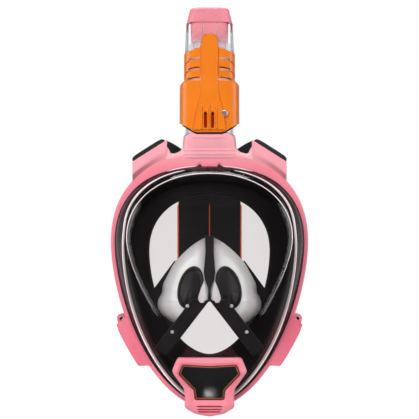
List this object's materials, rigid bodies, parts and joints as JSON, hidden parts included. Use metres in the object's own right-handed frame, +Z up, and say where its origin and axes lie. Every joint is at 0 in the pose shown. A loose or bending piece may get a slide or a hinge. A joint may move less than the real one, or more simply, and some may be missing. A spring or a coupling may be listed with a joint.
{
  "type": "full face snorkel mask",
  "caption": "Full face snorkel mask: clear domed visor in a pink frame, black face skirt, nose pocket with valves, chin drain, head straps and a pull-off snorkel with a float dry top.",
  "frame": {"origin": "middle of the face seal, where the wearer's face meets the skirt", "axes": "+Z up along the face, -Y out through the visor (the wearer is at +Y), +X to the right in the picture, the wearer's left"},
  "size_m": [0.1846, 0.2797, 0.3827],
  "materials": {
    "pink_shell": "smooth moulded, soft gloss",
    "deep_pink_shell": "smooth moulded, soft gloss",
    "pink_cap": "translucent moulded",
    "orange_sleeve": "smooth moulded, satin",
    "clear_plastic": "polished clear polycarbonate",
    "black_silicone": "satin liquid silicone",
    "pale_silicone": "translucent silicone",
    "dark_silicone": "satin silicone",
    "black_plastic": "moulded, fine matte",
    "black_gloss": "polished moulding",
    "strap_webbing": "woven elastic band",
    "steel": "stainless, turned"
  },
  "bodies": {
    "mask": {"frame": "pink_shell", "visor": "clear_plastic", "face_skirt": "black_silicone", "retaining_ring": "black_plastic", "snorkel_socket": "pink_shell", "orinasal_pocket": "pale_silicone", "nose_frame": "black_plastic", "chin_cover": "pink_shell", "chin_panel": "black_gloss", "drain_valve_seat": "black_plastic", "inhale_valve_seat_left": "black_plastic", "inhale_valve_seat_right": "black_plastic", "valve_screw_left": "steel", "valve_screw_right": "steel", "leg_screw_left": "steel", "leg_screw_right": "steel", "hinge_pin_left": "steel", "hinge_pin_right": "steel", "strap_anchor_left": "black_plastic", "strap_anchor_right": "black_plastic", "strap_hook_left": "black_plastic", "strap_hook_right": "black_plastic", "upper_strap_left": "strap_webbing", "upper_strap_right": "strap_webbing", "back_pad": "strap_webbing", "lower_strap_left": "strap_webbing", "lower_strap_right": "strap_webbing"},
    "snorkel": {"snorkel_tube": "clear_plastic", "socket_seal": "black_silicone", "snorkel_cover": "orange_sleeve", "cover_screw": "steel", "dry_top_housing": "clear_plastic", "dry_top_cap": "pink_cap", "float_post_left": "clear_plastic", "float_post_right": "clear_plastic"},
    "float": {"dry_top_float": "pink_shell", "float_seal": "pale_silicone"},
    "release_lever_left": {"release_lever_left": "deep_pink_shell"},
    "release_lever_right": {"release_lever_right": "deep_pink_shell"},
    "inhale_valve_flap_left": {"inhale_valve_flap_left": "dark_silicone"},
    "inhale_valve_flap_right": {"inhale_valve_flap_right": "dark_silicone"},
    "drain_valve_flap": {"drain_valve_flap": "pale_silicone"}
  },
  "joints": [
    {"name": "snorkel_pull", "type": "slide", "parent": "mask", "child": "snorkel", "axis": [0, 0.342, 0.9397], "range_m": [0, 0.025]},
    {"name": "float_rise", "type": "slide", "parent": "snorkel", "child": "float", "axis": [0, 0.342, 0.9397], "range_m": [0, 0.008]},
    {"name": "lever_left", "type": "hinge", "parent": "mask", "child": "release_lever_left", "pos_m": [-0.08233, -0.01758, -0.04242], "axis": [0, 1, 0], "range_deg": [0, 50]},
    {"name": "lever_right", "type": "hinge", "parent": "mask", "child": "release_lever_right", "pos_m": [0.08233, -0.01758, -0.04242], "axis": [0, -1, 0], "range_deg": [0, 50]},
    {"name": "inhale_flap_left", "type": "hinge", "parent": "mask", "child": "inhale_valve_flap_left", "pos_m": [-0.00966, -0.04985, -0.00051], "axis": [0.6996, -0.6848, -0.2041], "range_deg": [0, 20], "stiffness_Nm_per_rad": 0.01},
    {"name": "inhale_flap_right", "type": "hinge", "parent": "mask", "child": "inhale_valve_flap_right", "pos_m": [0.00966, -0.04985, -0.00051], "axis": [0.6996, 0.6848, 0.2041], "range_deg": [0, 20], "stiffness_Nm_per_rad": 0.01},
    {"name": "drain_flap", "type": "hinge", "parent": "mask", "child": "drain_valve_flap", "pos_m": [0, -0.09298, -0.08271], "axis": [-1, 0, 0], "range_deg": [0, 18], "stiffness_Nm_per_rad": 0.01}
  ]
}
